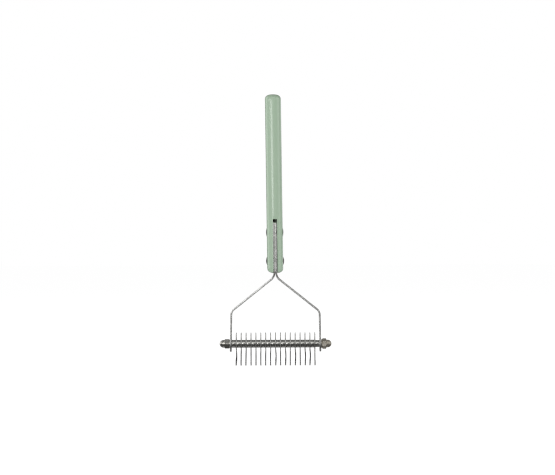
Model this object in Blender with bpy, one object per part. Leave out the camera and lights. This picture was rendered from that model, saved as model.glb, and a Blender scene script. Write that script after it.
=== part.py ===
"""A stripping rake for long coats.

A lacquered wooden handle is sawn open at its lower end. Two bent steel arms are riveted in the slot
and carry a threaded rod. Two dome nuts clamp a row of hooked blades and short tubes on the rod.

Metres. +Z runs up the handle, +X along the rod, and the hooks point towards -Y. The origin is on the
floor, midway under the tool. Every height and outline is measured from the middle of the rod, which
sits at ROD_Y, ROD_Z.
"""

import math

import bmesh
import bpy
from mathutils import Matrix

MM = 0.001

# Rod and the stack of blades on it
BLADE_COUNT = 17
BLADE_PITCH = 3.725 * MM
BLADE_THICKNESS = 0.8 * MM
STACK_GAP = 0.03 * MM
STACK_BORE = 2.15 * MM
SPACER_RADIUS = 3.0 * MM
COLLAR_RADIUS = {"left": 3.0 * MM, "right": 2.75 * MM}
ROD_RADIUS = 2.0 * MM
ROD_LENGTH = 80.2 * MM
ROD_CHAMFER = 0.5 * MM

# Blade outline, seen from its side
HOOK_REACH = 8.2 * MM
HOOK_DROP = 14.37 * MM
HOOK_SWEEP = math.radians(112)
HOOK_ROOT = 4.3 * MM
HOOK_TIP = 1.25 * MM
HOOK_TAPER = 0.8
HOOK_STATIONS = 9
TIP_STEPS = 4
NECK_ANGLE = math.radians(31)
NECK_HEIGHT = 4.6 * MM
NECK_HALF_WIDTH = 2.1 * MM
TAIL_HEIGHT = 8.6 * MM
TAIL_RADIUS = 1.8 * MM
BEVEL_WIDTH = 1.3 * MM
BEVEL_LAND = 0.15 * MM
BEVEL_FULLNESS = 0.6

# Arms
ARM_WIDTH = 12.0 * MM
ARM_THICKNESS = 1.35 * MM
ARM_BORE = 2.2 * MM
ARM_AT_ROD = 33.93 * MM
ARM_SPLAY = math.radians(0.9)
YOKE_SLOPE = math.radians(38.5)
YOKE_HEIGHT = 24.5 * MM
TANG_TOP = 92.2 * MM
TANG_GAP = 0.1 * MM
TANG_CORNER = 1.2 * MM
INNER_BEND = 7.0 * MM
OUTER_BEND = 5.5 * MM

# Handle
HANDLE_WIDTH = 12.1 * MM
HANDLE_DEPTH = 15.0 * MM
HANDLE_CORNER = 5.0 * MM
HANDLE_BOTTOM = 53.5 * MM
HANDLE_TOP = 189.2 * MM
END_DEPTH = 4.0 * MM
END_POWER = 2.5
END_FLAT = math.radians(7)
LEAST_CORNER = 0.4 * MM
SLOT_WIDTH = 3.5 * MM
SLOT_OFFSET = 0.1 * MM
SLOT_TOP = 94.7 * MM
SAW_RADIUS = 50.0 * MM
SAW_SETBACK = 9.8 * MM

# Rivets
RIVET_HEIGHTS = {"upper": 84.6 * MM, "lower": 62.9 * MM}
RIVET_RADIUS = 1.45 * MM
RIVET_BORE = 1.6 * MM
RIVET_HEAD_RADIUS = 3.3 * MM
RIVET_HEAD_HEIGHTS = {"upper": 0.5 * MM, "lower": 0.8 * MM}
RIVET_SEAT_GAP = 0.03 * MM

# Nuts and washers
JOINT_GAP = 0.1 * MM
WASHER_INNER = 2.2 * MM
WASHER_OUTER = 3.3 * MM
WASHER_THICKNESS = 0.6 * MM
WASHER_SPLIT = math.radians(9)
NUT_ACROSS_FLATS = 7.0 * MM
NUT_HEX_HEIGHT = 3.2 * MM
NUT_HEIGHT = 7.1 * MM
NUT_DOME_RADIUS = 2.9 * MM
NUT_DOME_WALL = 1.2 * MM
NUT_CHAMFER_RADIUS = 3.4 * MM
CHAMFER_SLOPE = math.tan(math.radians(30))
NUT_CLOCKING = {"left": math.radians(0), "right": math.radians(30)}

# The rod's place in the tool's own frame
ROD_Z = 16.15 * MM
ROD_Y = 2.5 * MM

SIDES = {"left": -1, "right": 1}
ARC_STEPS = 6
ROUND_STEPS = 18
HEX_STEPS = 24
LONG_CUT = 60 * MM
SMOOTH_ANGLE = math.radians(35)


def clear_scene():
    for obj in list(bpy.data.objects):
        bpy.data.objects.remove(obj)


def finish_material(name, color, metallic, roughness):
    """One Principled material, with its colour as linear red, green and blue."""
    material = bpy.data.materials.new(name)
    material.use_nodes = True
    shader = material.node_tree.nodes["Principled BSDF"]
    shader.inputs["Base Color"].default_value = (*color, 1.0)
    shader.inputs["Metallic"].default_value = metallic
    shader.inputs["Roughness"].default_value = roughness
    material.diffuse_color = (*color, 1.0)
    return material


def mesh_from(bm, name):
    """The mesh of a bmesh, with its normals facing out and its round sides shaded smooth."""
    bmesh.ops.recalc_face_normals(bm, faces=bm.faces)
    mesh = bpy.data.meshes.new(name)
    bm.to_mesh(mesh)
    bm.free()
    mesh.shade_smooth()
    mesh.set_sharp_from_angle(angle=SMOOTH_ANGLE)
    return mesh


def place(name, mesh, material, parent=None, location=(0, 0, 0)):
    """A new object of this mesh; its location counts from its parent."""
    if not mesh.materials:
        mesh.materials.append(material)
    obj = bpy.data.objects.new(name, mesh)
    obj.location = location
    obj.parent = parent
    bpy.context.scene.collection.objects.link(obj)
    return obj


def axis_empty(name, location, parent=None):
    """An empty on a joint's axis, which carries the pieces that move together."""
    empty = bpy.data.objects.new(name, None)
    empty.location = location
    empty.parent = parent
    bpy.context.scene.collection.objects.link(empty)
    return empty


def boolean(obj, cutter, operation="DIFFERENCE"):
    """Adds an exact Boolean, and hides its cutter from renders."""
    cutter.hide_render = True
    cutter.display_type = "WIRE"
    modifier = obj.modifiers.new(cutter.name, "BOOLEAN")
    modifier.operation = operation
    modifier.solver = "EXACT"
    modifier.object = cutter


def arc(center, radius, start, end, steps):
    """Points from one angle to another about a centre, both ends included."""
    angles = (start + (end - start) * i / steps for i in range(steps + 1))
    return [(center[0] + radius * math.cos(a), center[1] + radius * math.sin(a)) for a in angles]


def skin(bm, rings, closed_ends):
    """Quads between rings of equal length, and with closed_ends a face over the first and the last."""
    loops = [[bm.verts.new(point) for point in ring] for ring in rings]
    count = len(loops[0])
    for low, high in zip(loops, loops[1:]):
        for i in range(count):
            j = (i + 1) % count
            bm.faces.new((low[i], low[j], high[j], high[i]))
    if closed_ends:
        bm.faces.new(loops[0])
        bm.faces.new(loops[-1])
    return loops


def prism(outline, low, high, to_point):
    """A solid between two depths of a flat outline; to_point turns (u, v, depth) into x, y, z."""
    bm = bmesh.new()
    rings = [[to_point(u, v, depth) for u, v in outline] for depth in (low, high)]
    skin(bm, rings, closed_ends=True)
    return bm


def along_x(u, v, depth):
    return (depth, u, v)


def along_y(u, v, depth):
    return (u, depth, v)


def turned(profile, steps, closed=False):
    """A solid turned about X from (x, radius) points, from pole to pole or round a closed ring."""
    bm = bmesh.new()
    angles = [2 * math.pi * i / steps for i in range(steps)]
    loops = []
    for x, radius in profile:
        if radius == 0:
            loops.append([bm.verts.new((x, 0, 0))] * steps)
            continue
        ring = [(x, radius * math.cos(a), radius * math.sin(a)) for a in angles]
        loops.append([bm.verts.new(point) for point in ring])
    pairs = list(zip(loops, loops[1:])) + ([(loops[-1], loops[0])] if closed else [])
    for low, high in pairs:
        for i in range(steps):
            j = (i + 1) % steps
            corners = dict.fromkeys((low[i], low[j], high[j], high[i]))
            bm.faces.new(tuple(corners))
    return bm


def cylinder_cutter(name, radius, length, location):
    """A round cutter along X, for a hole."""
    half = length / 2
    bm = turned([(-half, 0), (-half, radius), (half, radius), (half, 0)], ROUND_STEPS)
    return place(name, mesh_from(bm, name), CUTTER, location=location)


def rounded_rectangle(half_x, half_y, corner):
    """Its outline, corner arcs included, anticlockwise from the right."""
    points = []
    for quarter, (sx, sy) in enumerate(((1, 1), (-1, 1), (-1, -1), (1, -1))):
        center = (sx * (half_x - corner), sy * (half_y - corner))
        start = quarter * math.pi / 2
        points += arc(center, corner, start, start + math.pi / 2, ARC_STEPS)
    return points


def handle_ring(inset, z):
    corner = max(HANDLE_CORNER - inset, LEAST_CORNER)
    outline = rounded_rectangle(HANDLE_WIDTH / 2 - inset, HANDLE_DEPTH / 2 - inset, corner)
    return [(x, y, z) for x, y in outline]


def end_insets():
    """How far the rounded end lies inside the handle's side, as (inset, depth from the end) pairs."""
    half = HANDLE_WIDTH / 2
    pairs = []
    for step in range(ARC_STEPS + 1):
        angle = END_FLAT + (math.pi / 2 - END_FLAT) * step / ARC_STEPS
        width = math.sin(angle) ** (2 / END_POWER)
        depth = math.cos(angle) ** (2 / END_POWER) if step < ARC_STEPS else 0.0
        pairs.append((half * (1 - width), END_DEPTH * (1 - depth)))
    return pairs


def slot_outline():
    """The slot seen from its side. A round saw left its end curved, higher at the front."""
    front, back = -HANDLE_DEPTH, HANDLE_DEPTH
    below = HANDLE_BOTTOM - END_DEPTH
    points = [(back, below), (front, below), (front, SLOT_TOP)]
    for step in range(ARC_STEPS + 1):
        y = -SAW_SETBACK + (back + SAW_SETBACK) * step / ARC_STEPS
        drop = SAW_RADIUS - math.sqrt(SAW_RADIUS**2 - (y + SAW_SETBACK) ** 2)
        points.append((y, SLOT_TOP - drop))
    return points


def make_handle(frame):
    bm = bmesh.new()
    insets = end_insets()
    bottom = [handle_ring(inset, HANDLE_BOTTOM + depth) for inset, depth in insets]
    top = [handle_ring(inset, HANDLE_TOP - depth) for inset, depth in reversed(insets)]
    skin(bm, bottom + top, closed_ends=True)
    handle = place("handle", mesh_from(bm, "handle"), WOOD, frame)
    walls = (SLOT_OFFSET - SLOT_WIDTH / 2, SLOT_OFFSET + SLOT_WIDTH / 2)
    slot = mesh_from(prism(slot_outline(), *walls, along_x), "slot_cutter")
    boolean(handle, place("slot_cutter", slot, CUTTER, frame))
    for cutter in RIVET_CUTTERS:
        boolean(handle, cutter)


def arm_path():
    """The right arm's middle line in X and Z, its bends still sharp, from above the tang to the foot."""
    slope = math.tan(YOKE_SLOPE)
    tang_x = (ARM_THICKNESS + TANG_GAP) / 2
    shoulder_x = ARM_AT_ROD - YOKE_HEIGHT * math.tan(ARM_SPLAY)
    crotch_z = YOKE_HEIGHT + (shoulder_x - tang_x) * slope
    foot = (ARM_AT_ROD + ARM_WIDTH * math.tan(ARM_SPLAY), -ARM_WIDTH)
    return [(tang_x, TANG_TOP + ARM_WIDTH), (tang_x, crotch_z), (shoulder_x, YOKE_HEIGHT), foot]


def unit(start, end):
    length = math.dist(start, end)
    return ((end[0] - start[0]) / length, (end[1] - start[1]) / length)


def bent_side(corners, bends, offset):
    """One side of a bent strip: the corners joined by arcs, moved sideways by offset."""
    points = []
    first = unit(corners[0], corners[1])
    points.append((corners[0][0] - first[1] * offset, corners[0][1] + first[0] * offset))
    for before, corner, after, radius in zip(corners, corners[1:], corners[2:], bends):
        ahead, onward = unit(before, corner), unit(corner, after)
        cross = ahead[0] * onward[1] - ahead[1] * onward[0]
        turn = math.atan2(cross, ahead[0] * onward[0] + ahead[1] * onward[1])
        side = math.copysign(1, turn)
        back = radius * math.tan(abs(turn) / 2)
        start = (corner[0] - ahead[0] * back, corner[1] - ahead[1] * back)
        center = (start[0] - side * ahead[1] * radius, start[1] + side * ahead[0] * radius)
        begin = math.atan2(start[1] - center[1], start[0] - center[0])
        points += arc(center, radius - side * offset, begin, begin + turn, ARC_STEPS)
    last = unit(corners[-2], corners[-1])
    points.append((corners[-1][0] - last[1] * offset, corners[-1][1] + last[0] * offset))
    return points


def arm_front_outline():
    """The strip seen from its side, in Y and Z: a round foot and a tang with rounded corners."""
    half = ARM_WIDTH / 2
    foot = arc((0, 0), half, math.pi, 2 * math.pi, 2 * ARC_STEPS)
    corner_y = half - TANG_CORNER
    corner_z = TANG_TOP - TANG_CORNER
    back = arc((corner_y, corner_z), TANG_CORNER, 0, math.pi / 2, ARC_STEPS)
    front = arc((-corner_y, corner_z), TANG_CORNER, math.pi / 2, math.pi, ARC_STEPS)
    return foot + back + front


def make_arms(frame):
    corners = arm_path()
    bends = (INNER_BEND, OUTER_BEND)
    outer = bent_side(corners, bends, ARM_THICKNESS / 2)
    inner = bent_side(corners, bends, -ARM_THICKNESS / 2)
    bend_outline = outer + inner[::-1]
    for side, sign in SIDES.items():
        outline = [(sign * x, z) for x, z in bend_outline]
        strip = mesh_from(prism(outline, -ARM_WIDTH, ARM_WIDTH, along_y), f"arm_{side}")
        arm = place(f"arm_{side}", strip, ARM_STEEL, frame)
        ends = sorted((-sign * MM, sign * LONG_CUT))
        trim = mesh_from(prism(arm_front_outline(), *ends, along_x), f"arm_trim_{side}")
        boolean(arm, place(f"arm_trim_{side}", trim, CUTTER, frame), "INTERSECT")
        for cutter in (ROD_CUTTER, *RIVET_CUTTERS):
            boolean(arm, cutter)


def make_rivets(frame):
    seat = HANDLE_WIDTH / 2 + RIVET_SEAT_GAP
    for name, head_height in RIVET_HEAD_HEIGHTS.items():
        crown = (RIVET_HEAD_RADIUS**2 + head_height**2) / (2 * head_height)
        rise = math.asin(RIVET_HEAD_RADIUS / crown)
        sphere = seat + head_height - crown
        half = arc((sphere, 0), crown, 0, rise, ARC_STEPS - 1) + [(seat, RIVET_RADIUS)]
        profile = half + [(-x, radius) for x, radius in reversed(half)]
        mesh = mesh_from(turned(profile, ROUND_STEPS), f"rivet_{name}")
        place(f"rivet_{name}", mesh, RIVET_STEEL, frame, (0, 0, RIVET_HEIGHTS[name]))


def hook_station(step):
    """The hook's middle point, outward direction and half width at a step from its root to its tip."""
    share = step / HOOK_STATIONS
    angle = HOOK_SWEEP * share
    middle = (-HOOK_REACH * (1 - math.cos(angle)), -HOOK_DROP * math.sin(angle))
    across = (HOOK_DROP * math.cos(angle), -HOOK_REACH * math.sin(angle))
    length = math.hypot(*across)
    half = HOOK_ROOT + (HOOK_TIP - HOOK_ROOT) * share**HOOK_TAPER
    return middle, (across[0] / length, across[1] / length), half


def uncut(points):
    """Outline points where the blade isn't ground."""
    return [(point, (0, 0)) for point in points]


def blade_outline():
    """The blade's outline in Y and Z, and how far its ground edge is cut back at each point."""
    back, front = [], []
    for step in range(HOOK_STATIONS + 1):
        (y, z), (across_y, across_z), half = hook_station(step)
        back.append(((y + across_y * half, z + across_z * half), (0, 0)))
        along = min(1, step / (HOOK_STATIONS - 1))
        cut = BEVEL_WIDTH * math.sin(math.pi * along) ** BEVEL_FULLNESS
        shift = (across_y * cut, across_z * cut)
        front.append(((y - across_y * half, z - across_z * half), shift))
    (y, z), (across_y, across_z), half = hook_station(HOOK_STATIONS)
    heading = math.atan2(across_z, across_y)
    tip = arc((y, z), half, heading, heading - math.pi, TIP_STEPS)[1:-1]
    neck_y = HOOK_ROOT * math.cos(NECK_ANGLE)
    neck_z = HOOK_ROOT * math.sin(NECK_ANGLE)
    tail = [(-neck_y, neck_z), (-NECK_HALF_WIDTH, NECK_HEIGHT)]
    tail += arc((0, TAIL_HEIGHT - TAIL_RADIUS), TAIL_RADIUS, math.pi, 0, ARC_STEPS)
    tail += [(NECK_HALF_WIDTH, NECK_HEIGHT), (neck_y, neck_z)]
    return back + uncut(tip) + front[::-1] + uncut(tail)


def make_blade_mesh():
    """A plate with a hole for the rod, its inner edge ground from the +X side."""
    outline = blade_outline()
    half = BLADE_THICKNESS / 2
    plain = [point for point, _ in outline]
    ground = [(point[0] + cut[0], point[1] + cut[1]) for point, cut in outline]
    bore = arc((0, 0), STACK_BORE, 0, 2 * math.pi, ROUND_STEPS)[:-1]
    bm = bmesh.new()
    depths = ((-half, plain), (-half + BEVEL_LAND, plain), (half, ground))
    edge = skin(bm, [[(x, y, z) for y, z in points] for x, points in depths], closed_ends=False)
    hole = skin(bm, [[(x, y, z) for y, z in bore] for x in (-half, half)], closed_ends=False)
    for rims in ((edge[0], hole[0]), (edge[-1], hole[-1])):
        edges = [bm.edges.get((rim[i - 1], rim[i])) for rim in rims for i in range(len(rim))]
        bmesh.ops.triangle_fill(bm, edges=edges, use_beauty=True)
    return mesh_from(bm, "blade")


def tube_mesh(name, length, radius):
    half = length / 2
    profile = [(-half, STACK_BORE), (-half, radius), (half, radius), (half, STACK_BORE)]
    return mesh_from(turned(profile, ROUND_STEPS, closed=True), name)


def make_stack(pack):
    """The blades, the tubes between them and the two end collars, all on the rod."""
    blade = make_blade_mesh()
    tube = tube_mesh("spacer", BLADE_PITCH - BLADE_THICKNESS - 2 * STACK_GAP, SPACER_RADIUS)
    first = -BLADE_PITCH * (BLADE_COUNT - 1) / 2
    for i in range(BLADE_COUNT):
        x = first + i * BLADE_PITCH
        place(f"blade_{i + 1:02d}", blade, BLADE_STEEL, pack, (x, 0, 0))
        if i < BLADE_COUNT - 1:
            place(f"spacer_{i + 1:02d}", tube, TUBE_STEEL, pack, (x + BLADE_PITCH / 2, 0, 0))
    start = -first + BLADE_THICKNESS / 2 + STACK_GAP
    end = ARM_AT_ROD - ARM_THICKNESS / 2 - JOINT_GAP
    for side, sign in SIDES.items():
        collar = tube_mesh(f"end_collar_{side}", end - start, COLLAR_RADIUS[side])
        place(f"end_collar_{side}", collar, TUBE_STEEL, pack, (sign * (start + end) / 2, 0, 0))


def make_rod(pack):
    half = ROD_LENGTH / 2
    small = ROD_RADIUS - ROD_CHAMFER
    end = [(-half, 0), (-half, small), (-half + ROD_CHAMFER, ROD_RADIUS)]
    profile = end + [(-x, radius) for x, radius in reversed(end)]
    rod = mesh_from(turned(profile, ROUND_STEPS), "threaded_rod")
    place("threaded_rod", rod, ROD_STEEL, pack)


def washer_mesh(side):
    """A split ring, whose two ends stand a little apart."""
    stations = []
    for step in range(HEX_STEPS + 1):
        angle = WASHER_SPLIT + (2 * math.pi - 2 * WASHER_SPLIT) * step / HEX_STEPS
        section = ((0, WASHER_INNER), (0, WASHER_OUTER), (WASHER_THICKNESS, WASHER_OUTER))
        section += ((WASHER_THICKNESS, WASHER_INNER),)
        stations.append([(x, r * math.cos(angle), r * math.sin(angle)) for x, r in section])
    bm = bmesh.new()
    skin(bm, stations, closed_ends=True)
    if SIDES[side] < 0:
        bmesh.ops.rotate(bm, verts=bm.verts, matrix=Matrix.Rotation(math.pi, 3, "Z"))
    return mesh_from(bm, f"lock_washer_{side}")


def hexagon_radius(angle):
    """The distance to a hexagon's side, with a corner at angle 0."""
    from_middle = (angle % (math.pi / 3)) - math.pi / 6
    return NUT_ACROSS_FLATS / 2 / math.cos(from_middle)


def nut_rings():
    """The nut from its bore's blind end, over the seat, the hexagon and its chamfer, and up the dome."""
    angles = [2 * math.pi * i / HEX_STEPS for i in range(HEX_STEPS)]

    def ring(x, radius):
        return [(x, radius, a) for a in angles]

    bore_end = NUT_HEIGHT - NUT_DOME_WALL
    rings = [ring(bore_end - STACK_BORE / 2, STACK_BORE), ring(0, STACK_BORE)]
    rings.append(ring(0, NUT_CHAMFER_RADIUS))
    chamfers = [(a, hexagon_radius(a), hexagon_radius(a) - NUT_CHAMFER_RADIUS) for a in angles]
    rings.append([(CHAMFER_SLOPE * over, radius, a) for a, radius, over in chamfers])
    rings.append([(NUT_HEX_HEIGHT - CHAMFER_SLOPE * over, radius, a) for a, radius, over in chamfers])
    rings.append(ring(NUT_HEX_HEIGHT, NUT_CHAMFER_RADIUS))
    shoulder = NUT_HEIGHT - NUT_DOME_RADIUS
    rings.append(ring(NUT_HEX_HEIGHT, NUT_DOME_RADIUS))
    for step in range(ARC_STEPS):
        angle = math.pi / 2 * step / ARC_STEPS
        x = shoulder + NUT_DOME_RADIUS * math.sin(angle)
        rings.append(ring(x, NUT_DOME_RADIUS * math.cos(angle)))
    return bore_end, rings, NUT_HEIGHT


def nut_mesh(side):
    """A dome nut with its seat at x = 0 and its dome pointing outwards on its own side."""
    bore_end, rings, crown = nut_rings()
    bm = bmesh.new()
    points = [[(x, r * math.cos(a), r * math.sin(a)) for x, r, a in ring] for ring in rings]
    loops = skin(bm, points, closed_ends=False)
    for pole_x, loop in ((bore_end, loops[0]), (crown, loops[-1])):
        pole = bm.verts.new((pole_x, 0, 0))
        for i in range(HEX_STEPS):
            bm.faces.new((loop[i - 1], loop[i], pole))
    bmesh.ops.rotate(bm, verts=bm.verts, matrix=Matrix.Rotation(NUT_CLOCKING[side], 3, "X"))
    if SIDES[side] < 0:
        bmesh.ops.rotate(bm, verts=bm.verts, matrix=Matrix.Rotation(math.pi, 3, "Z"))
    return mesh_from(bm, f"dome_nut_{side}")


def make_fasteners(pack):
    """A lock washer and a dome nut outside each arm, each on an empty that slides out along the rod."""
    seat = ARM_AT_ROD + ARM_THICKNESS / 2 + JOINT_GAP
    nut_seat = WASHER_THICKNESS + STACK_GAP
    for side, sign in SIDES.items():
        slide = axis_empty(f"nut_axis_{side}", (sign * seat, 0, 0), pack)
        place(f"lock_washer_{side}", washer_mesh(side), NUT_STEEL, slide)
        place(f"dome_nut_{side}", nut_mesh(side), NUT_STEEL, slide, (sign * nut_seat, 0, 0))


clear_scene()
WOOD = finish_material("sage_lacquer", (0.342, 0.445, 0.337), 0.0, 0.35)
ARM_STEEL = finish_material("arm_steel", (0.55, 0.55, 0.53), 1.0, 0.3)
BLADE_STEEL = finish_material("blade_steel", (0.5, 0.5, 0.48), 1.0, 0.3)
TUBE_STEEL = finish_material("tube_steel", (0.6, 0.6, 0.57), 1.0, 0.15)
ROD_STEEL = finish_material("rod_steel", (0.5, 0.5, 0.48), 1.0, 0.35)
NUT_STEEL = finish_material("nut_steel", (0.55, 0.53, 0.48), 1.0, 0.3)
RIVET_STEEL = finish_material("rivet_steel", (0.2, 0.2, 0.19), 1.0, 0.4)
CUTTER = finish_material("cutter", (0.8, 0.2, 0.1), 0.0, 0.5)

ROD_PLACE = (0, ROD_Y, ROD_Z)
ROD_CUTTER = cylinder_cutter("rod_cutter", ARM_BORE, 2 * LONG_CUT, ROD_PLACE)
RIVET_CUTTERS = [
    cylinder_cutter(f"rivet_cutter_{name}", RIVET_BORE, LONG_CUT, (0, ROD_Y, ROD_Z + height))
    for name, height in RIVET_HEIGHTS.items()
]

frame_empty = axis_empty("handle_frame", ROD_PLACE)
pack_empty = axis_empty("blade_pack_axis", (0, 0, 0), frame_empty)
make_handle(frame_empty)
make_arms(frame_empty)
make_rivets(frame_empty)
make_rod(pack_empty)
make_stack(pack_empty)
make_fasteners(pack_empty)
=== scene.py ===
"""Looks for the stripping rake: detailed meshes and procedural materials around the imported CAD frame.

Metres. +Z runs up the handle, +X along the rod, and the hooks point towards -Y. Places come from the CAD
nodes' boxes. The few shapes that a box doesn't tell are named values in millimetres below.
"""

import math
import random

import bmesh
import bpy
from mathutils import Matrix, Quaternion, Vector


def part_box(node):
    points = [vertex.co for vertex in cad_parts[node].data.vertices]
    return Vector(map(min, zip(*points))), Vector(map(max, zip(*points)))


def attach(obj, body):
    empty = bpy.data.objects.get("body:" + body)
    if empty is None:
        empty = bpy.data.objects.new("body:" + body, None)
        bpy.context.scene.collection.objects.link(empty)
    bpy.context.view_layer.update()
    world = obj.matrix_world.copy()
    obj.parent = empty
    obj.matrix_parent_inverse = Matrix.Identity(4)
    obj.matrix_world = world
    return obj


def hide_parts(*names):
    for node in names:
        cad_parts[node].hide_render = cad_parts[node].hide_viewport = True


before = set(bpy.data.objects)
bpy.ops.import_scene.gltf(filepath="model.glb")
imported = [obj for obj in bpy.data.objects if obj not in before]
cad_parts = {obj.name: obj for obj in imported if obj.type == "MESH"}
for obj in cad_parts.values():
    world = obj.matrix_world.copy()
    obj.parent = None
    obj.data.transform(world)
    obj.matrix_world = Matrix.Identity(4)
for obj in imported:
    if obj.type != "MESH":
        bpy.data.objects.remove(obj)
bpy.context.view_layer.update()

MM = 0.001

# Handle: the saw slot's walls are given as X, and the saw's centre lies forward of the handle's middle
HANDLE_CORNER = 5.6 * MM
CORNER_STEPS = 16
LEAST_CORNER = 0.5 * MM
END_DEPTH = 4.0 * MM
END_POWER = 2.5
END_STEPS = 12
END_FLAT = math.radians(7)
STRAIGHT_STEPS = 40
SLOT_LEFT = -1.38 * MM
SLOT_RIGHT_FRONT = 1.85 * MM
SLOT_RIGHT_BACK = 1.41 * MM
SLOT_HEIGHT = 41.1 * MM
SAW_RADIUS = 50.0 * MM
SAW_FORWARD = 9.8 * MM
SAW_STEPS = 12
SLOT_EDGE = 0.06 * MM
HANDLE_LEAN = math.radians(0.6)

# Arms: one line bent in the plane of the rod, drawn from its round foot up to its square top
ARM_THICKNESS = 1.35 * MM
ARM_EDGE = 0.15 * MM
STRIP_GAP = 0.02 * MM
ARM_SPLAY = math.radians(0.9)
YOKE_SLOPE = math.radians(38.5)
YOKE_HEIGHT = 24.5 * MM
INNER_BEND = 7.0 * MM
OUTER_BEND = 5.5 * MM
TANG_CORNER = 1.2 * MM
ARM_STEP = 1.0 * MM
FOOT_START = math.radians(4)
FOOT_STEPS = 14
TANG_STEPS = 8
ROD_HOLE = 2.2 * MM
RIVET_HOLE = 1.6 * MM

# Blades: the hook follows an ellipse a little further than a quarter, its inner edge ground from one face
HOOK_REACH = 8.2 * MM
HOOK_DROP = 14.37 * MM
HOOK_SWEEP = math.radians(112)
HOOK_ROOT = 4.3 * MM
HOOK_TIP = 1.25 * MM
HOOK_TAPER = 0.8
HOOK_STEPS = 28
TIP_STEPS = 7
TIP_END = math.radians(84)
NECK_STEPS = 12
TAIL_RADIUS = 1.8 * MM
TAIL_START = math.radians(86)
TAIL_STEPS = 8
TAIL_THINNESS = 0.35
GRIND_START = 0.1
GRIND_RISE = 0.25
GRIND_FALL = 0.12
GRIND_OFFSET = 0.25
GRIND_AT_TIP = 0.3
BEVEL_WIDTH = 1.5 * MM
BEVEL_LAND = 0.08 * MM
BLADE_EDGE = 0.05 * MM
BORE_RADIUS = 2.15 * MM
BORE_REACH = 0.7 * MM

# Bends: the numbered blades bow by BOW and the others by a random share up to SLIGHT_BOW, and each leans
BOWED_BLADES = (1, 9, 11, 13, 15, 16)
BOW = 0.35 * MM
SLIGHT_BOW = 0.2
LEAN = 0.12 * MM
BEND_SEED = 4

# Fasteners and tubes: a thread's flats are given as a share of half its pitch
THREAD_PITCH = 0.7 * MM
THREAD_DEPTH = 0.4 * MM
THREAD_FLAT = 0.12
THREAD_STEPS = 6
ROD_CHAMFER = 0.5 * MM
TUBE_EDGE = 0.1 * MM
TUBE_INNER_EDGE = 0.05 * MM
WASHER_EDGE = 0.12 * MM
WASHER_INNER = 2.2 * MM
WASHER_SPLIT = math.radians(9)
WASHER_SKEW = math.radians(7)
NUT_ACROSS_FLATS = 7.0 * MM
NUT_HEX_HEIGHT = 3.2 * MM
NUT_CORNER = 0.3 * MM
NUT_DOME_RADIUS = 2.9 * MM
NUT_DOME_WALL = 1.2 * MM
NUT_CHAMFER_RADIUS = 3.4 * MM
NUT_FILLET = 0.35 * MM
NUT_DRILL_TIP = 0.2
CHAMFER_SLOPE = math.tan(math.radians(30))
NUT_CLOCKING = {"left": math.radians(0), "right": math.radians(30)}
RIVET_EDGE = 0.15 * MM
RIVET_SHANK = 1.45 * MM
ROUND_STEPS = 48
NUT_STEPS = 144
EDGE_STEPS = 4

# Domes stop this far from their poles, and a small flat cap closes them
DOME_POLE = math.radians(4)
RIVET_POLE = math.radians(1)

SIDES = {"left": -1, "right": 1}
LEVELS = ("upper", "lower")
SMOOTH_ANGLE = math.radians(32)
CUT_EDGE_ANGLE = math.radians(50)

# Camera: metres, degrees, a lens in millimetres, and the point it looks at, from the rod's middle
CAMERA_DISTANCE = 2.2
CAMERA_YAW = -0.1
CAMERA_ROLL = -0.2
CAMERA_LENS = 188.0
AIM_FROM_ROD = (1.75 * MM, 0, 80.6 * MM)
PIXEL_FILTER = 1.25

# Light: the world as (degrees above the horizon, radiance), in front of the tool and behind it, and the
# softboxes as (name, azimuth, elevation, distance, (width, height), radiance). LIGHT_BLEND is the range of
# a direction's Y in which the front's light passes into the back's.
FRONT_LIGHT = ((-90, 0.35), (-66, 0.08), (-6, 0.08), (6, 0.25), (18, 0.5), (54, 0.25), (90, 0.25))
BACK_LIGHT = ((-90, 0.35), (-60, 0.2), (-20, 0.2), (0, 0.1), (40, 0.1), (90, 0.25))
SOFTBOXES = (
    ("key_softbox", -17, 3.6, 1.6, (0.72, 0.19), 5.4),
    ("nut_softbox", -45, 10, 1.4, (1.0, 0.1), 5.0),
    ("top_softbox", 0, 38, 1.7, (1.2, 0.8), 0.82),
    ("left_softbox", -108, 16, 1.4, (1.2, 1.3), 1.05),
    ("overhead_fill", 0, 88, 1.6, (1.2, 1.2), 1.4),
    ("right_softbox", 75, 8, 1.4, (0.9, 1.2), 0.85),
    ("rim_softbox", 140, 4, 1.5, (1.0, 0.8), 0.7),
)
UNMIRRORED_SOFTBOX = "overhead_fill"
LIGHT_BLEND = (-0.1, 0.5)
FLOOR_REACH = 8.0
FLOOR_SHADE = 0.3
FLOOR_GLOW = 0.91


# Frame places

def middle(node):
    low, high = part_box(node)
    return (low + high) / 2


def extent(node):
    low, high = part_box(node)
    return high - low


ROD = middle("threaded_rod")
AIM = ROD + Vector(AIM_FROM_ROD)
BLADES = sorted(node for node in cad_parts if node.startswith("blade_"))
SPACERS = sorted(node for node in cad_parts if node.startswith("spacer_"))
ARM_WIDTH = extent("arm_right").y
ARM_AT_ROD = (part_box("end_collar_right")[1].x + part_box("lock_washer_right")[0].x) / 2
WOOD_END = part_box("handle")[0].z


# Mesh helpers

def finished_mesh(name, verts, faces):
    """A mesh with its faces turned outwards and its round sides shaded smooth."""
    mesh = bpy.data.meshes.new(name)
    mesh.from_pydata(verts, [], faces)
    bm = bmesh.new()
    bm.from_mesh(mesh)
    bmesh.ops.recalc_face_normals(bm, faces=bm.faces)
    bm.to_mesh(mesh)
    bm.free()
    mesh.shade_smooth()
    mesh.set_sharp_from_angle(angle=SMOOTH_ANGLE)
    return mesh


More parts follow.
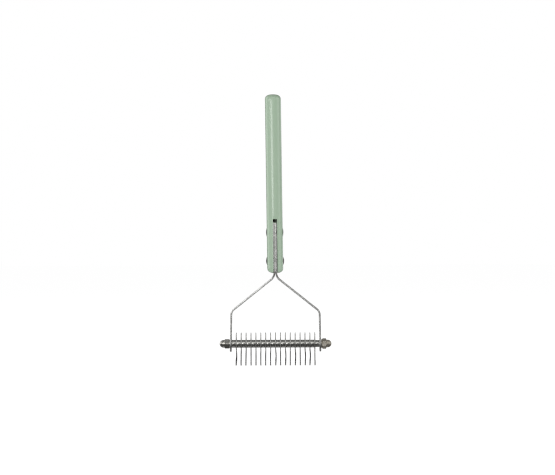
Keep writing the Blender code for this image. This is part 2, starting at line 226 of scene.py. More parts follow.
def ring_faces(ring_count, count, loop):
    """Quads between rings of equal length, stored one after another."""
    faces = []
    for k in range(ring_count if loop else ring_count - 1):
        low, high = k * count, (k + 1) % ring_count * count
        for i in range(count):
            j = (i + 1) % count
            faces.append((low + i, low + j, high + j, high + i))
    return faces


def loft(name, rings, loop=False):
    """A closed skin over rings: capped at both ends, or joined from the last ring to the first."""
    count = len(rings[0])
    verts = [point for ring in rings for point in ring]
    faces = ring_faces(len(rings), count, loop)
    if not loop:
        faces.append(tuple(range(count)))
        faces.append(tuple(range(len(verts) - count, len(verts))))
    return finished_mesh(name, verts, faces)


def arc(center, radius, start, end, steps):
    """Points from one angle to another about a centre, both ends included."""
    angles = (start + (end - start) * i / steps for i in range(steps + 1))
    return [(center[0] + radius * math.cos(a), center[1] + radius * math.sin(a)) for a in angles]


def turn_about_x(profile, steps):
    """Rings about X from (x, radius) points."""
    angles = [2 * math.pi * i / steps for i in range(steps)]
    return [[(x, r * math.cos(a), r * math.sin(a)) for a in angles] for x, r in profile]


def add_piece(name, mesh, material, body, replaced, location=(0, 0, 0)):
    """A new piece in its place, which rides on a body and stands for its CAD node."""
    piece = bpy.data.objects.new(name, mesh)
    piece.location = location
    bpy.context.scene.collection.objects.link(piece)
    if not mesh.materials:
        mesh.materials.append(material)
    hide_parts(replaced)
    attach(piece, body)
    return piece


def apply_cuts(mesh, cutters, location=(0, 0, 0), bevel=0.0):
    """The mesh after exact Boolean cuts, with an optional bevel on the edges they leave."""
    worker = bpy.data.objects.new("worker", mesh)
    worker.location = location
    bpy.context.scene.collection.objects.link(worker)
    for cutter in cutters:
        cut = worker.modifiers.new("cut", "BOOLEAN")
        cut.operation = "DIFFERENCE"
        cut.solver = "EXACT"
        cut.object = cutter
    if bevel:
        edge = worker.modifiers.new("edge", "BEVEL")
        edge.width = bevel
        edge.segments = 3
        edge.limit_method = "ANGLE"
        edge.angle_limit = CUT_EDGE_ANGLE
    bpy.context.view_layer.update()
    evaluated = worker.evaluated_get(bpy.context.evaluated_depsgraph_get())
    result = bpy.data.meshes.new_from_object(evaluated)
    result.name = mesh.name
    bpy.data.objects.remove(worker)
    result.shade_smooth()
    result.set_sharp_from_angle(angle=SMOOTH_ANGLE)
    return result


def cutter_object(name, mesh, location=(0, 0, 0)):
    cutter = bpy.data.objects.new(name, mesh)
    cutter.location = location
    bpy.context.scene.collection.objects.link(cutter)
    return cutter


def askew(z):
    """How far to the left the handle, and what it holds, stands at a height: it leans over the yoke."""
    return math.tan(HANDLE_LEAN) * max(0.0, z - WOOD_END)


def set_askew(mesh):
    """The mesh, leaned with the handle. Nothing below the wood's end moves."""
    for vertex in mesh.vertices:
        vertex.co.x -= askew(vertex.co.z)
    mesh.update()
    return mesh


def hole_cutter(name, radius, reach, location):
    profile = [(-reach, radius), (reach, radius)]
    return cutter_object(name, loft(name, turn_about_x(profile, ROUND_STEPS)), location)


# Handle

def handle_ring(half, inset, z):
    corner = max(HANDLE_CORNER - inset, LEAST_CORNER)
    points = []
    for quarter, (sx, sy) in enumerate(((1, 1), (-1, 1), (-1, -1), (1, -1))):
        center = (sx * (half.x - inset - corner), sy * (half.y - inset - corner))
        start = quarter * math.pi / 2
        points += arc(center, corner, start, start + math.pi / 2, CORNER_STEPS)
    return [(x, y, z) for x, y in points]


def end_insets(half_width):
    """How far the rounded end lies inside the handle's side, as (inset, depth from the end) pairs."""
    pairs = []
    for step in range(END_STEPS + 1):
        angle = END_FLAT + (math.pi / 2 - END_FLAT) * step / END_STEPS
        width = math.sin(angle) ** (2 / END_POWER)
        depth = math.cos(angle) ** (2 / END_POWER) if step < END_STEPS else 0.0
        pairs.append((half_width * (1 - width), END_DEPTH * (1 - depth)))
    return pairs


def slot_cutter(center, bottom, depth):
    """The saw slot: open below, narrower at the back, and higher at the front, as a round saw leaves it."""
    top = bottom + SLOT_HEIGHT
    points = [(depth, bottom - END_DEPTH), (-depth, bottom - END_DEPTH)]
    for step in range(SAW_STEPS + 1):
        y = -depth + 2 * depth * step / SAW_STEPS
        drop = SAW_RADIUS - math.sqrt(SAW_RADIUS**2 - (y + SAW_FORWARD) ** 2)
        points.append((y, top - drop))
    rings = []
    for front, back in ((SLOT_LEFT, SLOT_LEFT), (SLOT_RIGHT_FRONT, SLOT_RIGHT_BACK)):
        slope = (back - front) / (2 * depth)
        rings.append([(front + slope * (y + depth), center.y + y, z) for y, z in points])
    return cutter_object("slot_cutter", loft("slot_cutter", rings))


def make_handle(material, rivet_cutters):
    low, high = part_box("handle")
    center = middle("handle")
    half = (high - low) / 2
    insets = end_insets(half.x)
    bottom = [handle_ring(half, inset, low.z + depth) for inset, depth in insets]
    top = [handle_ring(half, inset, high.z - depth) for inset, depth in reversed(insets)]
    length = high.z - low.z - 2 * END_DEPTH
    heights = [low.z + END_DEPTH + length * (i + 0.5) / STRAIGHT_STEPS for i in range(STRAIGHT_STEPS)]
    rings = bottom + [handle_ring(half, 0.0, z) for z in heights] + top
    mesh = loft("wooden_handle", [[(x, center.y + y, z) for x, y, z in ring] for ring in rings])
    cutters = [slot_cutter(center, low.z, half.y), *rivet_cutters]
    mesh = apply_cuts(mesh, cutters, bevel=SLOT_EDGE)
    bpy.data.objects.remove(cutters[0])
    add_piece("wooden_handle", set_askew(mesh), material, "handle_frame", "handle")


# Arms

def arm_legs():
    """The right arm's middle line from its foot up: where it starts, its heading and its legs."""
    tang_x = (STRIP_GAP + ARM_THICKNESS) / 2
    shoulder_x = ARM_AT_ROD - YOKE_HEIGHT * math.tan(ARM_SPLAY)
    rise = (shoulder_x - tang_x) * math.tan(YOKE_SLOPE)
    foot = (ARM_AT_ROD + ARM_WIDTH / 2 * math.tan(ARM_SPLAY), -ARM_WIDTH / 2)
    shoulder = (shoulder_x, YOKE_HEIGHT)
    crotch = (tang_x, YOKE_HEIGHT + rise)
    top = (tang_x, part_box("arm_right")[1].z - ROD.z)
    first_turn = math.pi / 2 - YOKE_SLOPE - ARM_SPLAY
    second_turn = math.pi / 2 - YOKE_SLOPE
    first_cut = OUTER_BEND * math.tan(first_turn / 2)
    second_cut = INNER_BEND * math.tan(second_turn / 2)
    legs = [
        (math.dist(foot, shoulder) - first_cut, 0.0),
        (OUTER_BEND * first_turn, first_turn),
        (math.dist(shoulder, crotch) - first_cut - second_cut, 0.0),
        (INNER_BEND * second_turn, -second_turn),
        (math.dist(crotch, top) - second_cut, 0.0),
    ]
    return foot, math.pi / 2 + ARM_SPLAY, legs


def along_legs(start, heading, legs, distance):
    """The point and heading at a distance along a bent line, whose legs are (length, turn) pairs."""
    x, z = start
    for index, (length, turn) in enumerate(legs):
        last = index == len(legs) - 1
        step = distance if last else min(distance, length)
        if turn:
            bend = turn / length
            ahead = heading + bend * step
            x += (math.sin(ahead) - math.sin(heading)) / bend
            z += (math.cos(heading) - math.cos(ahead)) / bend
            heading = ahead
        else:
            x += step * math.cos(heading)
            z += step * math.sin(heading)
        distance -= step
        if distance <= 0 and not last:
            break
    return x, z, heading


def strip_half_outline(length, inset):
    """One half of the strip's outline, from its foot's middle to its top's middle, as (across, along)."""
    half = ARM_WIDTH / 2
    foot = arc((0, half), half - inset, -math.pi / 2 + FOOT_START, 0, FOOT_STEPS)
    straight = length - half - TANG_CORNER
    count = math.ceil(straight / ARM_STEP)
    side = [(half - inset, half + straight * i / count) for i in range(1, count)]
    corner = (half - TANG_CORNER, length - TANG_CORNER)
    top = arc(corner, TANG_CORNER - inset, 0, math.pi / 2, TANG_STEPS)
    return foot + side + top


def edge_profile(thickness, radius):
    """A plate's rounded edge, as (inset, depth) pairs from its lower face to its upper face."""
    low = [
        (radius * (1 - math.sin(a)), -thickness / 2 + radius * (1 - math.cos(a)))
        for a in (math.pi / 2 * i / EDGE_STEPS for i in range(EDGE_STEPS + 1))
    ]
    return low + [(inset, -depth) for inset, depth in reversed(low)]


def arm_mesh(side):
    sign = SIDES[side]
    start, heading, legs = arm_legs()
    length = sum(leg[0] for leg in legs)
    rings = []
    for inset, depth in edge_profile(ARM_THICKNESS, ARM_EDGE):
        half = strip_half_outline(length, inset)
        outline = half + [(-across, along) for across, along in reversed(half)]
        ring = []
        for across, along in outline:
            x, z, ahead = along_legs(start, heading, legs, along)
            x += depth * math.sin(ahead)
            z -= depth * math.cos(ahead)
            ring.append((sign * x, ROD.y + across, ROD.z + z))
        rings.append(ring)
    count = len(rings[0])
    verts = [point for ring in rings for point in ring]
    faces = ring_faces(len(rings), count, loop=False)
    for base in (0, len(verts) - count):
        for i in range(count // 2 - 1):
            faces.append((base + i, base + i + 1, base + count - 2 - i, base + count - 1 - i))
    return finished_mesh(f"arm_strip_{side}", verts, faces)


def make_arms(materials, rivet_cutters):
    rod_cutter = hole_cutter("rod_cutter", ROD_HOLE, extent("threaded_rod").x, ROD)
    for side in SIDES:
        mesh = apply_cuts(arm_mesh(side), [rod_cutter, *rivet_cutters])
        name = f"arm_strip_{side}"
        add_piece(name, set_askew(mesh), materials[side], "handle_frame", f"arm_{side}")
    bpy.data.objects.remove(rod_cutter)


# Rivets

def make_rivets(material):
    for level in LEVELS:
        node = f"rivet_{level}"
        half = extent(node) / 2
        seat = extent("handle").x / 2
        rise = half.x - seat
        radius = half.z
        crown = (radius**2 + rise**2) / (2 * rise)
        spread = math.asin((radius - RIVET_EDGE) / crown)
        center = (half.x - crown, 0)
        profile = arc(center, crown, RIVET_POLE, spread, 2 * EDGE_STEPS)
        profile += [(seat + RIVET_EDGE, radius), (seat, radius - RIVET_EDGE), (seat, RIVET_SHANK)]
        profile += [(-x, r) for x, r in reversed(profile)]
        name = f"rivet_pin_{level}"
        mesh = loft(name, turn_about_x(profile, ROUND_STEPS))
        place = middle(node)
        place.x -= askew(place.z)
        add_piece(name, mesh, material, "handle_frame", node, place)


# Blades

def hook_section(share):
    """The hook's middle, outward direction, half width and ground width at a share of its sweep."""
    angle = HOOK_SWEEP * share
    across = Vector((HOOK_DROP * math.cos(angle), -HOOK_REACH * math.sin(angle))).normalized()
    center = Vector((-HOOK_REACH * (1 - math.cos(angle)), -HOOK_DROP * math.sin(angle)))
    half = HOOK_ROOT + (HOOK_TIP - HOOK_ROOT) * share**HOOK_TAPER
    return center, across, half


def smooth(share):
    share = min(1.0, max(0.0, share))
    return share * share * (3 - 2 * share)


def blade_stations():
    """Stations from the tail's top to the hook's tip.

    Each is (middle, outward direction, half width, share of the full grind, share of the full thickness).
    """
    across = Vector((1, 0))
    tail_center = extent(BLADES[0]).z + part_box(BLADES[0])[0].z - ROD.z - TAIL_RADIUS
    stations = []
    for step in range(TAIL_STEPS):
        angle = TAIL_START * (1 - step / TAIL_STEPS)
        point = Vector((0, tail_center + TAIL_RADIUS * math.sin(angle)))
        fullness = TAIL_THINNESS + (1 - TAIL_THINNESS) * step / TAIL_STEPS
        stations.append((point, across, TAIL_RADIUS * math.cos(angle), 0.0, fullness))
    for step in range(NECK_STEPS):
        share = step / NECK_STEPS
        half = TAIL_RADIUS + (HOOK_ROOT - TAIL_RADIUS) * smooth(share)
        stations.append((Vector((0, tail_center * (1 - share))), across, half, 0.0, 1.0))
    for step in range(HOOK_STEPS + 1):
        share = step / HOOK_STEPS
        grind = smooth((share - GRIND_START) / GRIND_RISE) * smooth((1 - share) / GRIND_FALL + GRIND_OFFSET)
        stations.append((*hook_section(share), grind, 1.0))
    center, across, half = hook_section(1.0)
    ahead = Vector((across.y, -across.x))
    for step in range(1, TIP_STEPS + 1):
        angle = TIP_END * step / TIP_STEPS
        point = center + ahead * half * math.sin(angle)
        stations.append((point, across, half * math.cos(angle), GRIND_AT_TIP * math.cos(angle), 1.0))
    return stations


def blade_section(width, thickness, grind):
    """The blade's section as (distance from the back edge, depth); one face is ground at its inner edge."""
    half = thickness / 2
    edge = min(BLADE_EDGE, width / 4)
    cut = max(edge, min(BEVEL_WIDTH * grind, width / 2))
    fall = edge + grind * (thickness - BEVEL_LAND - edge)
    return [
        (edge, -half), (0, -half + edge), (0, half - edge), (edge, half),
        (width - cut, half), (width, half - fall), (width, -half + edge), (width - edge, -half),
    ]


def blade_mesh(name, bow, lean):
    """A blade whose hook is bowed sideways by bow, and whose tip leans sideways by lean."""
    thickness = extent(BLADES[0]).x
    rings = []
    for center, across, half, grind, fullness in blade_stations():
        share = max(0.0, -center.y - HOOK_ROOT) / (HOOK_DROP - HOOK_ROOT)
        shift = bow * math.sin(math.pi * min(1.0, share)) + lean * share**2
        ring = []
        for distance, depth in blade_section(2 * half, thickness * fullness, grind):
            point = center + across * (half - distance)
            ring.append((depth + shift, point.x, point.y))
        rings.append(ring)
    return loft(name, rings)


def make_blades(material):
    """Each blade has been bent and straightened in use, so no two stand quite alike."""
    draw = random.Random(BEND_SEED)
    for number, node in enumerate(BLADES, start=1):
        place = Vector((middle(node).x, ROD.y, ROD.z))
        bore = hole_cutter("bore_cutter", BORE_RADIUS, BORE_REACH, place)
        bow = BOW if number in BOWED_BLADES else draw.uniform(-SLIGHT_BOW, SLIGHT_BOW) * BOW
        name = f"hooked_blade_{number:02d}"
        mesh = apply_cuts(blade_mesh(name, bow, draw.uniform(-1, 1) * LEAN), [bore], place)
        bpy.data.objects.remove(bore)
        add_piece(name, mesh, material, "blade_pack", node, place)


# Rod and tubes

def thread_radius(turns, radius):
    """A 60 degree thread's radius at a number of turns along its helix, with flat crests and roots."""
    phase = abs((turns % 1.0) - 0.5) * 2
    return radius - THREAD_DEPTH * (1 - smooth((phase - THREAD_FLAT) / (1 - 2 * THREAD_FLAT)))


def make_rod(material):
    half = extent("threaded_rod").x / 2
    radius = extent("threaded_rod").z / 2
    count = math.ceil(2 * half / THREAD_PITCH * THREAD_STEPS)
    rings = []
    for step in range(count + 1):
        x = -half + 2 * half * step / count
        cone = radius - ROD_CHAMFER + half - abs(x)
        ring = []
        for i in range(ROUND_STEPS // 2):
            angle = 4 * math.pi * i / ROUND_STEPS
            r = min(thread_radius(x / THREAD_PITCH - angle / (2 * math.pi), radius), cone)
            ring.append((x, r * math.cos(angle), r * math.sin(angle)))
        rings.append(ring)
    mesh = loft("threaded_stud", rings)
    add_piece("threaded_stud", mesh, material, "blade_pack", "threaded_rod", ROD)


def tube_mesh(name, length, radius):
    """A cut tube, its outer edges tumbled round and its inner edges broken."""
    half = length / 2
    outer = arc((half - TUBE_EDGE, radius - TUBE_EDGE), TUBE_EDGE, 0, math.pi / 2, EDGE_STEPS)
    inner = [(half - TUBE_INNER_EDGE, BORE_RADIUS), (half, BORE_RADIUS + TUBE_INNER_EDGE)]
    profile = inner + outer
    profile += [(-x, r) for x, r in reversed(profile)]
    return loft(name, turn_about_x(profile, ROUND_STEPS), loop=True)


def make_tubes(material):
    size = extent(SPACERS[0])
    mesh = tube_mesh("spacer_tube", size.x, size.z / 2)
    for number, node in enumerate(SPACERS, start=1):
        name = f"spacer_tube_{number:02d}"
        add_piece(name, mesh, material, "blade_pack", node, middle(node))
    for side in SIDES:
        node = f"end_collar_{side}"
        size = extent(node)
        name = f"collar_tube_{side}"
        mesh = tube_mesh(name, size.x, size.z / 2)
        add_piece(name, mesh, material, "blade_pack", node, middle(node))


# Washers and nuts

def washer_mesh(side, size):
    """A split spring washer: its slit is cut on a slant, and its edges are rolled round."""
    half = size.x / 2
    outer = size.z / 2
    corners = ((half, outer, 0), (-half, outer, 1), (-half, WASHER_INNER, 2), (half, WASHER_INNER, 3))
    section = []
    for x, radius, quarter in corners:
        center = (math.copysign(half - WASHER_EDGE, x), radius + WASHER_EDGE * (1 if quarter > 1 else -1))
        start = quarter * math.pi / 2
        section += arc(center, WASHER_EDGE, start, start + math.pi / 2, EDGE_STEPS)
    rings = []
    for step in range(2 * ROUND_STEPS + 1):
        share = step / (2 * ROUND_STEPS)
        ring = []
        for x, radius in section:
            slant = WASHER_SKEW * x / half
            angle = WASHER_SPLIT + slant + (2 * math.pi - 2 * WASHER_SPLIT) * share
            ring.append((SIDES[side] * x, radius * math.cos(angle), radius * math.sin(angle)))
        rings.append(ring)
    return loft(f"split_washer_{side}", rings)


def hexagon_radius(angle):
    """The distance to the side of a hexagon with rounded corners, one of them at angle 0."""
    beta = (angle + math.pi / 6) % (math.pi / 3) - math.pi / 6
    apothem = NUT_ACROSS_FLATS / 2
    corner = (apothem - NUT_CORNER) / math.cos(math.pi / 6)
    tangent = math.atan2(NUT_CORNER / 2, corner + NUT_CORNER * math.cos(math.pi / 6))
    if abs(beta) < tangent:
        return corner * math.cos(beta) + math.sqrt(NUT_CORNER**2 - (corner * math.sin(beta)) ** 2)
    return apothem / math.cos(math.pi / 6 - abs(beta))


def nut_profile(height):
    """The nut without its hexagon, as (x, radius) points: its bore and seat, and its neck and dome."""
    bore_end = height - NUT_DOME_WALL
    sink = BORE_RADIUS + THREAD_DEPTH
    seat = [(bore_end, NUT_DRILL_TIP * BORE_RADIUS), (bore_end - BORE_RADIUS / 2, BORE_RADIUS)]
    seat += [(THREAD_DEPTH, BORE_RADIUS), (0, sink), (0, NUT_CHAMFER_RADIUS)]
    neck = (NUT_HEX_HEIGHT + NUT_FILLET, NUT_DOME_RADIUS + NUT_FILLET)
    fillet = arc(neck, NUT_FILLET, math.pi, 1.5 * math.pi, EDGE_STEPS)
    shoulder = height - NUT_DOME_RADIUS
    dome = arc((shoulder, 0), NUT_DOME_RADIUS, math.pi / 2, DOME_POLE, 6 * EDGE_STEPS)
    return seat, [(NUT_HEX_HEIGHT, NUT_CHAMFER_RADIUS), *fillet, *dome]


def nut_mesh(side, height):
    sign = SIDES[side]
    angles = [2 * math.pi * i / NUT_STEPS for i in range(NUT_STEPS)]
    seat, crown = nut_profile(height)
    sides = [(a, hexagon_radius(a)) for a in angles]
    rings = [[(x, r, a) for a in angles] for x, r in seat]
    rings.append([(CHAMFER_SLOPE * (r - NUT_CHAMFER_RADIUS), r, a) for a, r in sides])
    rings.append([(NUT_HEX_HEIGHT - CHAMFER_SLOPE * (r - NUT_CHAMFER_RADIUS), r, a) for a, r in sides])
    rings += [[(x, r, a) for a in angles] for x, r in crown]
    clocking = NUT_CLOCKING[side]
    points = [
        [(sign * x, r * math.cos(a + clocking), r * math.sin(a + clocking)) for x, r, a in ring]
        for ring in rings
    ]
    return loft(f"acorn_nut_{side}", points)


def make_fasteners(materials):
    for side, sign in SIDES.items():
        material = materials[side]
        node = f"lock_washer_{side}"
        mesh = washer_mesh(side, extent(node))
        place = Vector((middle(node).x, ROD.y, ROD.z))
        add_piece(f"split_washer_{side}", mesh, material, f"washer_{side}", node, place)
        node = f"dome_nut_{side}"
        mesh = nut_mesh(side, extent(node).x)
        seat_x = sign * min(abs(corner.x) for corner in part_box(node))
        place = Vector((seat_x, ROD.y, ROD.z))
        add_piece(f"acorn_nut_{side}", mesh, material, f"nut_{side}", node, place)


# Materials

# Sage lacquer: colours, and how many features fit in a metre each way
SAGE_TONES = ((0.35, 0.472, 0.344), (0.374, 0.501, 0.366))
SAGE_WORN = (0.383, 0.5, 0.374)
SAGE_PORES = (0.26, 0.34, 0.25)
GRAIN_STRETCH = (2200, 2200, 60)
FIGURE_STRETCH = (260, 260, 9)
CLOUD_STRETCH = (90, 90, 40)
SAGE_GLOSS = (0.34, 0.48)
FIGURE_DEPTH = 0.04 * MM
GRAIN_DEPTH = 0.01 * MM

# Steels: light tone, dark tone, (least, most) roughness, and how many marks fit in a metre each way
ARM_STEEL = ((0.74, 0.74, 0.72), (0.62, 0.62, 0.6), (0.34, 0.46), (1200, 1200, 300))
BLADE_STEEL = ((0.52, 0.52, 0.5), (0.38, 0.38, 0.36), (0.3, 0.46), (400, 4000, 4000))
TUBE_STEEL = ((0.6, 0.6, 0.57), (0.46, 0.46, 0.43), (0.17, 0.26), (5000, 300, 300))
ROD_STEEL = ((0.5, 0.5, 0.48), (0.38, 0.37, 0.35), (0.25, 0.4), (3000, 800, 800))
BRIGHT_NUT_STEEL = ((0.62, 0.61, 0.57), (0.48, 0.47, 0.43), (0.12, 0.2), (1500, 900, 900))
DULL_NUT_STEEL = ((0.72, 0.68, 0.6), (0.56, 0.52, 0.44), (0.42, 0.56), (1500, 900, 900))
RIVET_STEEL = ((0.36, 0.36, 0.34), (0.24, 0.24, 0.22), (0.3, 0.45), (900, 900, 900))
SMUDGE_STRETCH = (420, 420, 420)
MARK_DEPTH = 0.01 * MM
ARM_MARK_DEPTH = 0.002 * MM
MARK_STRENGTH = 0.35

# Painted light and shade: colours and strengths, and heights above the wood's end (slot light, shadow under
# the wood) or the rod (slope light, hook shade)
# Painted light: lifts the strips inside the slot against the shade of its walls
SLOT_LIGHT_COLOR = (0.8, 0.8, 0.77)
SLOT_LIGHT_RISE = (10 * MM, 40 * MM)
# Painted shadow: darkens the strips just under the wood's end
END_SHADOW_COLOR = (0.12, 0.12, 0.11)
END_SHADOW_RISE = (-4.5 * MM, -2 * MM)
END_SHADOW_FALL = (0.0, 3 * MM)
END_SHADOW_STRENGTH = 0.75
# Painted light: lightens the left strip's sloping part, for the light it catches
SLOPE_LIGHT_COLOR = (0.95, 0.95, 0.93)
SLOPE_LIGHT_RISE = (22 * MM, 27 * MM)
SLOPE_LIGHT_FALL = (46 * MM, 51 * MM)
SLOPE_LIGHT_STRENGTH = 0.7
# Painted shade: darkens the hooks' middle, for the dark their ground facets catch
HOOK_SHADE_COLOR = (0.16, 0.16, 0.15)
HOOK_SHADE_RISE = (-14.5 * MM, -12.5 * MM)
HOOK_SHADE_FALL = (-9 * MM, -5.5 * MM)
HOOK_SHADE_STRENGTH = 0.7

# The colour sockets of a Mix node, whose names are the same for every data type
MIX_FIRST = 6
MIX_SECOND = 7
MIX_RESULT = 2


def link(tree, source, output, target, socket):
    tree.links.new(source.outputs[output], target.inputs[socket])


def add_node(tree, kind, settings=None, **values):
    """A node with its settings and the values of its input sockets."""
    node = tree.nodes.new(kind)
    for name, value in (settings or {}).items():
        setattr(node, name, value)
    for name, value in values.items():
        node.inputs[name.replace("_", " ")].default_value = value
    return node


def start_material(name, metallic, roughness):
    material = bpy.data.materials.new(name)
    material.use_nodes = True
    tree = material.node_tree
    shader = tree.nodes["Principled BSDF"]
    shader.inputs["Metallic"].default_value = metallic
    shader.inputs["Roughness"].default_value = roughness
    return material, tree, shader


def noise(tree, stretch, detail=4.0, roughness=0.55, distortion=0.0):
    """Noise in the piece's own coordinates; stretch is how many features fit in a metre each way."""
    place = add_node(tree, "ShaderNodeTexCoord")
    scale = add_node(tree, "ShaderNodeMapping", Scale=stretch)
    cloud = add_node(
        tree, "ShaderNodeTexNoise", Scale=1.0, Detail=detail, Roughness=roughness, Distortion=distortion
    )
    link(tree, place, "Object", scale, "Vector")
    link(tree, scale, "Vector", cloud, "Vector")
    return cloud


def remap(tree, source, output, low, high, to_low, to_high):
    node = add_node(tree, "ShaderNodeMapRange", {"interpolation_type": "SMOOTHSTEP"})
    for socket, value in zip(("From Min", "From Max", "To Min", "To Max"), (low, high, to_low, to_high)):
        node.inputs[socket].default_value = value
    link(tree, source, output, node, "Value")
    return node


def mix_colors(tree, factor, first, second):
    """A mix of two colours by a node's Result or Fac output."""
    mix = add_node(tree, "ShaderNodeMix", {"data_type": "RGBA"})
    tree.links.new(factor, mix.inputs["Factor"])
    for socket, value in ((mix.inputs[MIX_FIRST], first), (mix.inputs[MIX_SECOND], second)):
        if isinstance(value, tuple):
            socket.default_value = (*value, 1.0)
        else:
            tree.links.new(value, socket)
    return mix.outputs[MIX_RESULT]


def add_bumps(tree, shader, layers):
    """Bumps from (noise node, strength, depth in metres) layers, one over another."""
    below = None
    for source, strength, depth in layers:
        bump = add_node(tree, "ShaderNodeBump", Strength=strength, Distance=depth)
        tree.links.new(source.outputs[0], bump.inputs["Height"])
        if below:
            link(tree, below, "Normal", bump, "Normal")
        below = bump
    link(tree, below, "Normal", shader, "Normal")


def sage_lacquer():
    """Sage lacquer over straight-grained wood: pores telegraph through, and the film has a soft gloss."""
    material, tree, shader = start_material("sage_lacquer_look", 0.0, 0.4)
    shader.inputs["Coat Weight"].default_value = 1.0
    shader.inputs["Coat Roughness"].default_value = 0.15
    shader.inputs["Coat IOR"].default_value = 1.5
    grain = noise(tree, GRAIN_STRETCH, detail=6.0)
    figure = noise(tree, FIGURE_STRETCH, detail=3.0, distortion=0.6)
    clouds = noise(tree, CLOUD_STRETCH, detail=2.0)
    pores = remap(tree, grain, "Fac", 0.56, 0.72, 0.0, 1.0)
    tone = mix_colors(tree, figure.outputs["Fac"], *SAGE_TONES)
    cloudy = remap(tree, clouds, "Fac", 0.35, 0.7, 0.0, 0.35)
    worn = mix_colors(tree, cloudy.outputs["Result"], tone, SAGE_WORN)
    soft_pores = remap(tree, pores, "Result", 0.0, 1.0, 0.0, 0.3)
    color = mix_colors(tree, soft_pores.outputs["Result"], worn, SAGE_PORES)
    tree.links.new(color, shader.inputs["Base Color"])
    gloss = remap(tree, clouds, "Fac", 0.3, 0.7, *SAGE_GLOSS)
    link(tree, gloss, "Result", shader, "Roughness")
    add_bumps(tree, shader, [(figure, 0.2, FIGURE_DEPTH), (grain, 0.15, GRAIN_DEPTH)])
    return material


def height_split(tree):
    """The piece's own coordinates, taken apart, so that a tone can change with height."""
    place = add_node(tree, "ShaderNodeTexCoord")
    split = add_node(tree, "ShaderNodeSeparateXYZ")
    link(tree, place, "Object", split, "Vector")
    return split


def height_band(tree, split, rise, fall, strength):
    """A factor that grows between the two heights of rise and fades again between those of fall."""
    grown = remap(tree, split, "Z", *rise, 0.0, strength)
    faded = remap(tree, split, "Z", *fall, 1.0, 0.0)
    band = add_node(tree, "ShaderNodeMath", {"operation": "MULTIPLY"})
    tree.links.new(grown.outputs["Result"], band.inputs[0])
    tree.links.new(faded.outputs["Result"], band.inputs[1])
    return band.outputs["Value"]


def above(base, heights):
    return tuple(base + height for height in heights)


def strip_painted_light_and_shadow(tree, color):
    """Painted light lifts the strips inside the slot against the shade of its walls, and a painted shadow
    darkens them where they leave the wood.
    """
    split = height_split(tree)
    # Painted light on the strips inside the slot
    slot_light = remap(tree, split, "Z", *above(WOOD_END, SLOT_LIGHT_RISE), 0.0, 1.0)
    color = mix_colors(tree, slot_light.outputs["Result"], color, SLOT_LIGHT_COLOR)
    # Painted shadow under the wood's end
    rise, fall = above(WOOD_END, END_SHADOW_RISE), above(WOOD_END, END_SHADOW_FALL)
    end_shadow = height_band(tree, split, rise, fall, END_SHADOW_STRENGTH)
    return mix_colors(tree, end_shadow, color, END_SHADOW_COLOR)


def left_strip_painted_light_and_shadow(tree, color):
    """Painted light: the left strip's sloping part is lightened, for the light it catches."""
    color = strip_painted_light_and_shadow(tree, color)
    rise, fall = above(ROD.z, SLOPE_LIGHT_RISE), above(ROD.z, SLOPE_LIGHT_FALL)
    # Painted light on the left strip's slope
    slope_light = height_band(tree, height_split(tree), rise, fall, SLOPE_LIGHT_STRENGTH)
    return mix_colors(tree, slope_light, color, SLOPE_LIGHT_COLOR)


def hook_painted_shade(tree, color):
    """Painted shade: the hooks are darkened in their middle, for the dark their ground facets catch, but
    not at their tips.
    """
    hook_shade = height_band(tree, height_split(tree), HOOK_SHADE_RISE, HOOK_SHADE_FALL, HOOK_SHADE_STRENGTH)
    return mix_colors(tree, hook_shade, color, HOOK_SHADE_COLOR)


def steel(name, light, dark, rough, stretch, depth=MARK_DEPTH, painted_shading=None):
    """Steel with fine working marks along one way, small smudges and a little uneven gloss."""
    material, tree, shader = start_material(name, 1.0, rough[0])
    marks = noise(tree, stretch, detail=5.0)
    smudges = noise(tree, SMUDGE_STRETCH, detail=3.0)
    shade = remap(tree, smudges, "Fac", 0.35, 0.68, 0.0, 1.0)
    color = mix_colors(tree, shade.outputs["Result"], light, dark)
    # Painted light and shade, where a piece is given them
    if painted_shading:
        color = painted_shading(tree, color)
    tree.links.new(color, shader.inputs["Base Color"])
    gloss = remap(tree, marks, "Fac", 0.3, 0.7, *rough)
    link(tree, gloss, "Result", shader, "Roughness")
    add_bumps(tree, shader, [(marks, MARK_STRENGTH, depth)])
    return material


# Stage

def make_floor():
    """A pale floor under the tool, wide enough for every view."""
    material, _, shader = start_material("pale_floor", 0.0, 0.9)
    shader.inputs["Base Color"].default_value = (FLOOR_SHADE, FLOOR_SHADE, FLOOR_SHADE, 1.0)
    shader.inputs["Emission Color"].default_value = (1.0, 1.0, 1.0, 1.0)
    shader.inputs["Emission Strength"].default_value = FLOOR_GLOW
    corners = [(sx * FLOOR_REACH, sy * FLOOR_REACH, 0) for sx, sy in ((-1, -1), (1, -1), (1, 1), (-1, 1))]
    mesh = bpy.data.meshes.new("floor")
    mesh.from_pydata(corners, [], [(0, 1, 2, 3)])
    mesh.materials.append(material)
    floor = bpy.data.objects.new("floor", mesh)
    floor.visible_glossy = False
    bpy.context.scene.collection.objects.link(floor)


def add_softbox(name, azimuth, elevation, distance, size, radiance):
    """A rectangular area light that faces the tool; azimuth 0 is the camera's side and 90 is +X."""
    light = bpy.data.lights.new(name, "AREA")
    light.shape = "RECTANGLE"
    light.size, light.size_y = size
    light.energy = radiance * math.pi * size[0] * size[1]
    box = bpy.data.objects.new(name, light)
    a, e = math.radians(azimuth), math.radians(elevation)
    away = Vector((math.sin(a) * math.cos(e), -math.cos(a) * math.cos(e), math.sin(e)))
    box.location = AIM + away * distance
    box.rotation_euler = away.to_track_quat("Z", "Y").to_euler()
    box.visible_camera = False
    box.visible_glossy = name != UNMIRRORED_SOFTBOX
    bpy.context.scene.collection.objects.link(box)


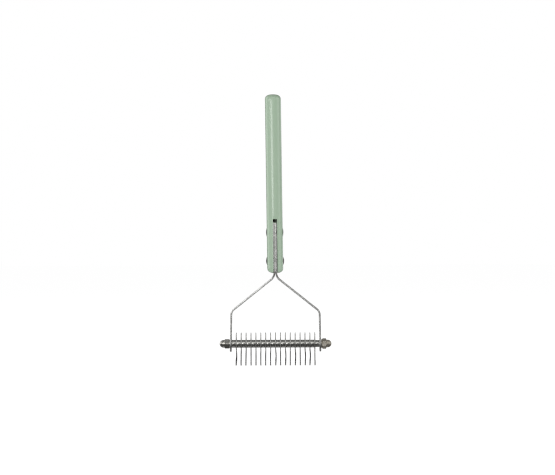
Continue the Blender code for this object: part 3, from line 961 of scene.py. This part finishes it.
def elevation_ramp(tree, split, levels):
    """Grey light by elevation: (degrees above the horizon, radiance) pairs, from below to above."""
    height = add_node(tree, "ShaderNodeMapRange")
    height.inputs["From Min"].default_value = -1.0
    link(tree, split, "Z", height, "Value")
    ramp = add_node(tree, "ShaderNodeValToRGB")
    stops = ramp.color_ramp.elements
    while len(stops) < len(levels):
        stops.new(0.5)
    for stop, (elevation, radiance) in zip(stops, levels):
        stop.position = (math.sin(math.radians(elevation)) + 1) / 2
        stop.color = (radiance, radiance, radiance, 1.0)
    link(tree, height, "Result", ramp, "Fac")
    return ramp.outputs["Color"]


def make_world():
    """White to the eye. As light it is a studio: bright behind the tool and below, dim in front."""
    world = bpy.data.worlds.new("studio")
    world.use_nodes = True
    bpy.context.scene.world = world
    tree = world.node_tree
    tree.nodes.clear()
    place = add_node(tree, "ShaderNodeTexCoord")
    split = add_node(tree, "ShaderNodeSeparateXYZ")
    link(tree, place, "Generated", split, "Vector")
    back = remap(tree, split, "Y", *LIGHT_BLEND, 0.0, 1.0)
    front_side = elevation_ramp(tree, split, FRONT_LIGHT)
    back_side = elevation_ramp(tree, split, BACK_LIGHT)
    color = mix_colors(tree, back.outputs["Result"], front_side, back_side)
    light = add_node(tree, "ShaderNodeBackground", Strength=1.0)
    tree.links.new(color, light.inputs["Color"])
    seen = add_node(tree, "ShaderNodeBackground", Strength=1.0)
    seen.inputs["Color"].default_value = (1.0, 1.0, 1.0, 1.0)
    path = add_node(tree, "ShaderNodeLightPath")
    choose = add_node(tree, "ShaderNodeMixShader")
    out = add_node(tree, "ShaderNodeOutputWorld")
    link(tree, path, "Is Camera Ray", choose, "Fac")
    tree.links.new(light.outputs[0], choose.inputs[1])
    tree.links.new(seen.outputs[0], choose.inputs[2])
    tree.links.new(choose.outputs[0], out.inputs["Surface"])


def make_camera():
    camera = bpy.data.cameras.new("camera")
    camera.lens = CAMERA_LENS
    eye = bpy.data.objects.new("camera", camera)
    yaw = math.radians(CAMERA_YAW)
    back = Vector((-math.sin(yaw), -math.cos(yaw), 0))
    eye.location = AIM + back * CAMERA_DISTANCE
    eye.rotation_mode = "QUATERNION"
    roll = Quaternion(back, math.radians(CAMERA_ROLL))
    eye.rotation_quaternion = roll @ back.to_track_quat("Z", "Y")
    bpy.context.scene.collection.objects.link(eye)
    bpy.context.scene.camera = eye


# The tool

sage = sage_lacquer()
arm_steels = {
    # The left arm's steel carries a painted light on its slope
    "left": steel("painted_slope_light_arm_look", *ARM_STEEL, ARM_MARK_DEPTH, left_strip_painted_light_and_shadow),
    "right": steel("plain_arm_look", *ARM_STEEL, ARM_MARK_DEPTH, strip_painted_light_and_shadow),
}
# The blades' steel carries a painted shade on the hooks
blade_steel = steel("blade_steel_look", *BLADE_STEEL, painted_shading=hook_painted_shade)
tube_steel = steel("tube_steel_look", *TUBE_STEEL)
rod_steel = steel("rod_steel_look", *ROD_STEEL)
nut_steels = {
    "left": steel("bright_nut_look", *BRIGHT_NUT_STEEL),
    "right": steel("dull_nut_look", *DULL_NUT_STEEL),
}
rivet_steel = steel("rivet_steel_look", *RIVET_STEEL)

rivet_cutters = [
    hole_cutter(f"rivet_cutter_{level}", RIVET_HOLE, extent("handle").x, middle(f"rivet_{level}"))
    for level in LEVELS
]
make_handle(sage, rivet_cutters)
make_arms(arm_steels, rivet_cutters)
for cutter in rivet_cutters:
    bpy.data.objects.remove(cutter)
make_rivets(rivet_steel)
make_blades(blade_steel)
make_rod(rod_steel)
make_tubes(tube_steel)
make_fasteners(nut_steels)

# The studio

make_floor()
make_world()
make_camera()
for softbox in SOFTBOXES:
    add_softbox(*softbox)
bpy.context.scene.view_settings.view_transform = "Standard"
bpy.context.scene.cycles.use_denoising = True
bpy.context.scene.cycles.filter_width = PIXEL_FILTER
